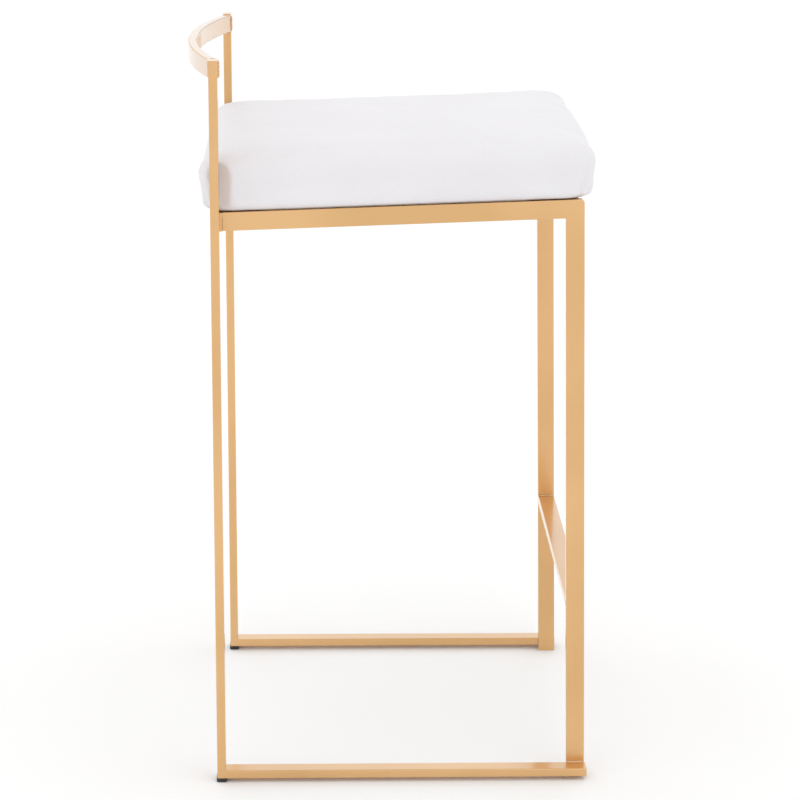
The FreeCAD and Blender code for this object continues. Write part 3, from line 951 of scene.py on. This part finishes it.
@dataclass
class DustCover:
    """Thin cloth stapled over the underside of the seat; it sags a little between the rails."""

    plane: SeatPlane
    half_width: float = 182.8 * MM
    rear: float = -9.8 * MM
    front: float = 361.8 * MM
    corner: float = 17.8 * MM
    thickness: float = 0.4 * MM
    height: float = 0.5 * MM
    slack: float = 2.2 * MM
    cells: int = 84

    @property
    def middle_s(self) -> float:
        """Returns the middle of the cloth's length, forward of the rails' rear ends."""
        return (self.front + self.rear) / 2

    def sag(self, point: Vector) -> float:
        """Returns how far the cloth hangs below its edges, with soft folds between staples."""
        share_x = abs(point.x) / self.half_width
        share_s = abs(-point.y - self.middle_s) / ((self.front - self.rear) / 2)
        span = smooth_step(1.0 - max(share_x, share_s), 0.11, 0.6)
        fold = noise.noise(Vector((point.x / (45 * MM), point.y / (30 * MM), 2.0)))
        return self.slack * span * (1.0 + 0.45 * fold)

    def build(self) -> None:
        """Makes the cloth and puts it under the cushion."""
        shape = bmesh.new()
        size = Vector((self.half_width, (self.front - self.rear) / 2, 1.0))
        middle = Vector((0.0, -self.middle_s, self.height))
        place = Matrix.Translation(middle) @ Matrix.Diagonal((*size, 1.0))
        bmesh.ops.create_grid(
            shape, x_segments=self.cells, y_segments=self.cells, size=1.0, matrix=place
        )
        for vert in shape.verts:
            gap_x = abs(vert.co.x) - (size.x - self.corner)
            gap_y = abs(vert.co.y - middle.y) - (size.y - self.corner)
            away = math.hypot(gap_x, gap_y)
            if gap_x > 0.0 and gap_y > 0.0 and away > self.corner:
                pull = 1.0 - self.corner / away
                vert.co.x -= math.copysign(gap_x * pull, vert.co.x)
                vert.co.y -= math.copysign(gap_y * pull, vert.co.y - middle.y)
            vert.co.z -= self.sag(vert.co)
        bmesh.ops.solidify(shape, geom=shape.faces[:], thickness=self.thickness)
        bmesh.ops.recalc_face_normals(shape, faces=shape.faces)
        bmesh.ops.transform(shape, matrix=self.plane.matrix(), verts=shape.verts)
        piece = new_object("dust_cloth", mesh_of(shape, "dust_cloth"), CLOTH)
        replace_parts(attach(piece, BODY), "dust_cover")
        report(piece)


# ---------------------------------------------------------------- studio


@dataclass(frozen=True)
class Camera:
    """Long lens beside the stool, a little above the seat and tilted down."""

    place: Vector = Vector((-2.86875, 0.06483, 1.10233))
    yaw: float = math.radians(1.6214)
    pitch: float = math.radians(14.503)
    roll: float = math.radians(0.2626)
    focal: float = 2699.66
    side: float = 800.0
    sensor: float = 36.0

    def build(self) -> None:
        """Makes the camera and puts it in use."""
        ahead = Vector(
            (
                math.cos(self.yaw) * math.cos(self.pitch),
                -math.sin(self.yaw) * math.cos(self.pitch),
                -math.sin(self.pitch),
            )
        )
        level = Vector((-math.sin(self.yaw), -math.cos(self.yaw), 0.0))
        above = level.cross(ahead)
        right = level * math.cos(self.roll) + above * math.sin(self.roll)
        upward = above * math.cos(self.roll) - level * math.sin(self.roll)
        data = bpy.data.cameras.new("camera")
        data.sensor_width = self.sensor
        data.lens = self.focal * self.sensor / self.side
        data.clip_start, data.clip_end = 0.05, 100.0
        camera = bpy.data.objects.new("camera", data)
        bpy.context.scene.collection.objects.link(camera)
        turn = Matrix((right, upward, -ahead)).transposed().to_4x4()
        camera.matrix_world = Matrix.Translation(self.place) @ turn
        bpy.context.scene.camera = camera


@dataclass(frozen=True)
class SoftBox:
    """Square soft light aimed at the seat."""

    name: str
    place: tuple[float, float, float]
    side: float
    power: float
    aim: tuple[float, float, float] = (0.0, 0.0, 0.45)

    def build(self) -> None:
        """Makes the light."""
        data = bpy.data.lights.new(self.name, "AREA")
        data.shape = "SQUARE"
        data.size = self.side
        data.energy = self.power
        light = bpy.data.objects.new(self.name, data)
        bpy.context.scene.collection.objects.link(light)
        light.location = self.place
        way = Vector(self.aim) - Vector(self.place)
        light.rotation_euler = way.to_track_quat("-Z", "Y").to_euler()


@dataclass(frozen=True)
class PaleFloor(Finish):
    """Matt white studio floor."""

    light: Colour = (0.96, 0.96, 0.96, 1.0)
    deep: Colour = (0.95, 0.95, 0.95, 1.0)

    def dress(self, nodes: Nodes, shader: bpy.types.Node, place: bpy.types.NodeSocket) -> None:
        """Even paint with barely visible unevenness."""
        tint = ColourDrift().place(
            nodes, Place=place, Scale=1.5, Light=self.light, Deep=self.deep, Speckle=0.0
        )
        nodes.feed(shader.inputs["Base Color"], tint["Color"])
        shader.inputs["Roughness"].default_value = 0.9
        shader.inputs["Specular IOR Level"].default_value = 0.2


@dataclass(frozen=True)
class Studio:
    """White room: floor, even sky and three soft boxes."""

    sky: float = 1.08
    floor_side: float = 40.0
    boxes: tuple[SoftBox, ...] = (
        SoftBox("key_light", (-2.2, -1.6, 2.6), 2.0, 4.0),
        SoftBox("fill_light", (1.9, 2.2, 2.2), 2.4, 2.0),
        SoftBox("top_light", (0.3, -0.2, 3.2), 2.2, 2.0),
    )

    def build(self) -> None:
        """Makes the floor, the sky and the lights."""
        shape = bmesh.new()
        bmesh.ops.create_grid(shape, x_segments=8, y_segments=8, size=self.floor_side / 2)
        floor = new_object("floor", mesh_of(shape, "floor"), PaleFloor("pale_floor"))
        world = bpy.data.worlds.new("sky")
        world.use_nodes = True
        bpy.context.scene.world = world
        background = world.node_tree.nodes["Background"]
        background.inputs["Color"].default_value = (1.0, 1.0, 1.0, 1.0)
        background.inputs["Strength"].default_value = self.sky
        bpy.context.scene.view_settings.view_transform = "Standard"
        for box in self.boxes:
            box.build()


def main() -> None:
    """Builds the stool and the studio."""
    logging.basicConfig(level=logging.INFO, format="%(message)s")
    plane = SeatPlane()
    Camera().build()
    Studio().build()
    TubeFrame().dress()
    Welds().build()
    Cushion(plane).build()
    DustCover(plane).build()


if __name__ == "__main__":
    main()
